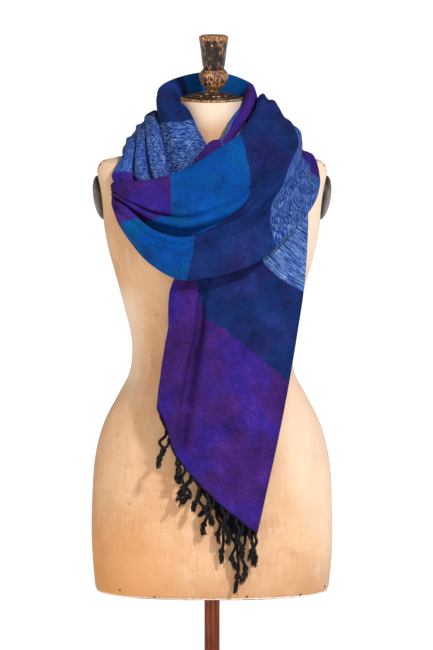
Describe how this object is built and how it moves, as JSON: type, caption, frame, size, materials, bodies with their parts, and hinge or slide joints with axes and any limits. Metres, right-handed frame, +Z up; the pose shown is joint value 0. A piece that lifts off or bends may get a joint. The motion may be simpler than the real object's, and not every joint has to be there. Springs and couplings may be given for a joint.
{
  "type": "scarf wound on a limbless dress form",
  "caption": "Long fringed wool scarf, wound twice round the neck of a limbless dress form on a round-based counter stand, one end hanging in front.",
  "frame": {"origin": "centre of the base's underside, on the surface that the form stands on", "axes": "+Z up; -Y the way the form's chest faces; +X towards the side on which the scarf's end hangs"},
  "size_m": [0.361, 0.3219, 1.065],
  "materials": {
    "scarf_wool": "felted wool in broad bands of navy, denim marl, purple and teal",
    "scarf_fringe": "twisted black wool cords, knotted and frayed",
    "form_linen": "aged linen canvas over a moulded shell",
    "form_cap": "black paint worn to brass at the rim",
    "form_paint": "glossy black paint, worn to the wood on the turned edges",
    "stand_wood": "reddish brown varnish"
  },
  "bodies": {
    "root": {"scarf_collar": "scarf_wool", "scarf_left_shoulder": "scarf_wool", "scarf_back_wrap": "scarf_wool", "scarf_front_loop": "scarf_wool", "scarf_tail": "scarf_wool", "scarf_fringe_front": "scarf_fringe", "scarf_fringe_rear": "scarf_fringe", "form_torso": "form_linen", "form_bottom_board": "stand_wood", "form_neck_cap": "form_cap", "form_knob": "form_paint", "form_arm_plate_left": "form_paint", "form_arm_plate_right": "form_paint", "form_socket": "stand_wood", "form_pole": "stand_wood", "form_foot_collar": "stand_wood", "form_base": "stand_wood"}
  },
  "joints": []
}
